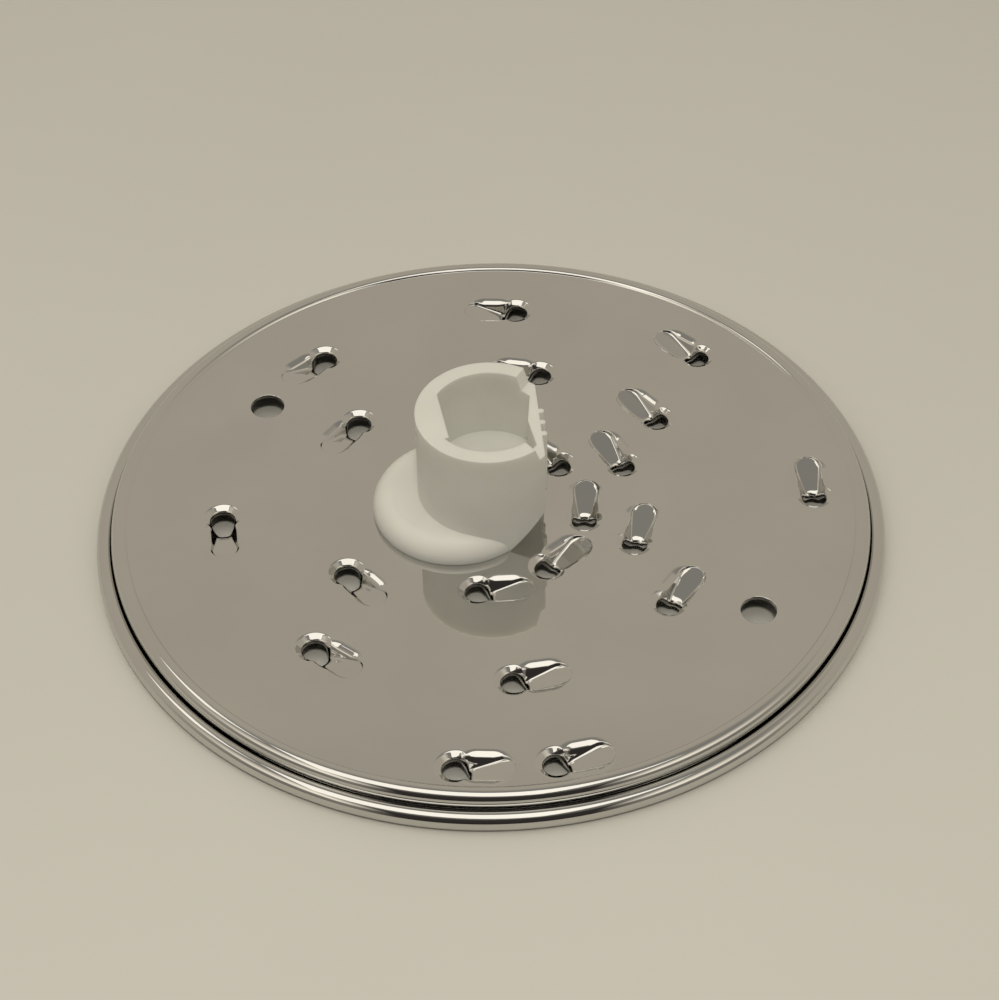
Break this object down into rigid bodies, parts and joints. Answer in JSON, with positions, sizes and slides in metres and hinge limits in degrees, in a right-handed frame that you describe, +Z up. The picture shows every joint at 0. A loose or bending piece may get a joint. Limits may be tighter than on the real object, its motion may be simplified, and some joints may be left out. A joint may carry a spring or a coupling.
{
  "type": "food processor grating disc",
  "caption": "Pressed steel grating disc of a food processor, drive side up, with a rolled rim, pressed teeth and a moulded hub with a keyed socket.",
  "frame": {"origin": "on the disc's axis, in the plane of the surface that the rolled rim rests on", "axes": "+Z up along the disc's axis towards the drive socket, +X to the right in the picture, +Y away from the viewer"},
  "size_m": [0.1788, 0.1788, 0.0346],
  "materials": {
    "stainless_steel": "polished",
    "hub_plastic": "satin"
  },
  "bodies": {
    "root": {"grating_disc": "stainless_steel", "hub": "hub_plastic"}
  },
  "joints": []
}
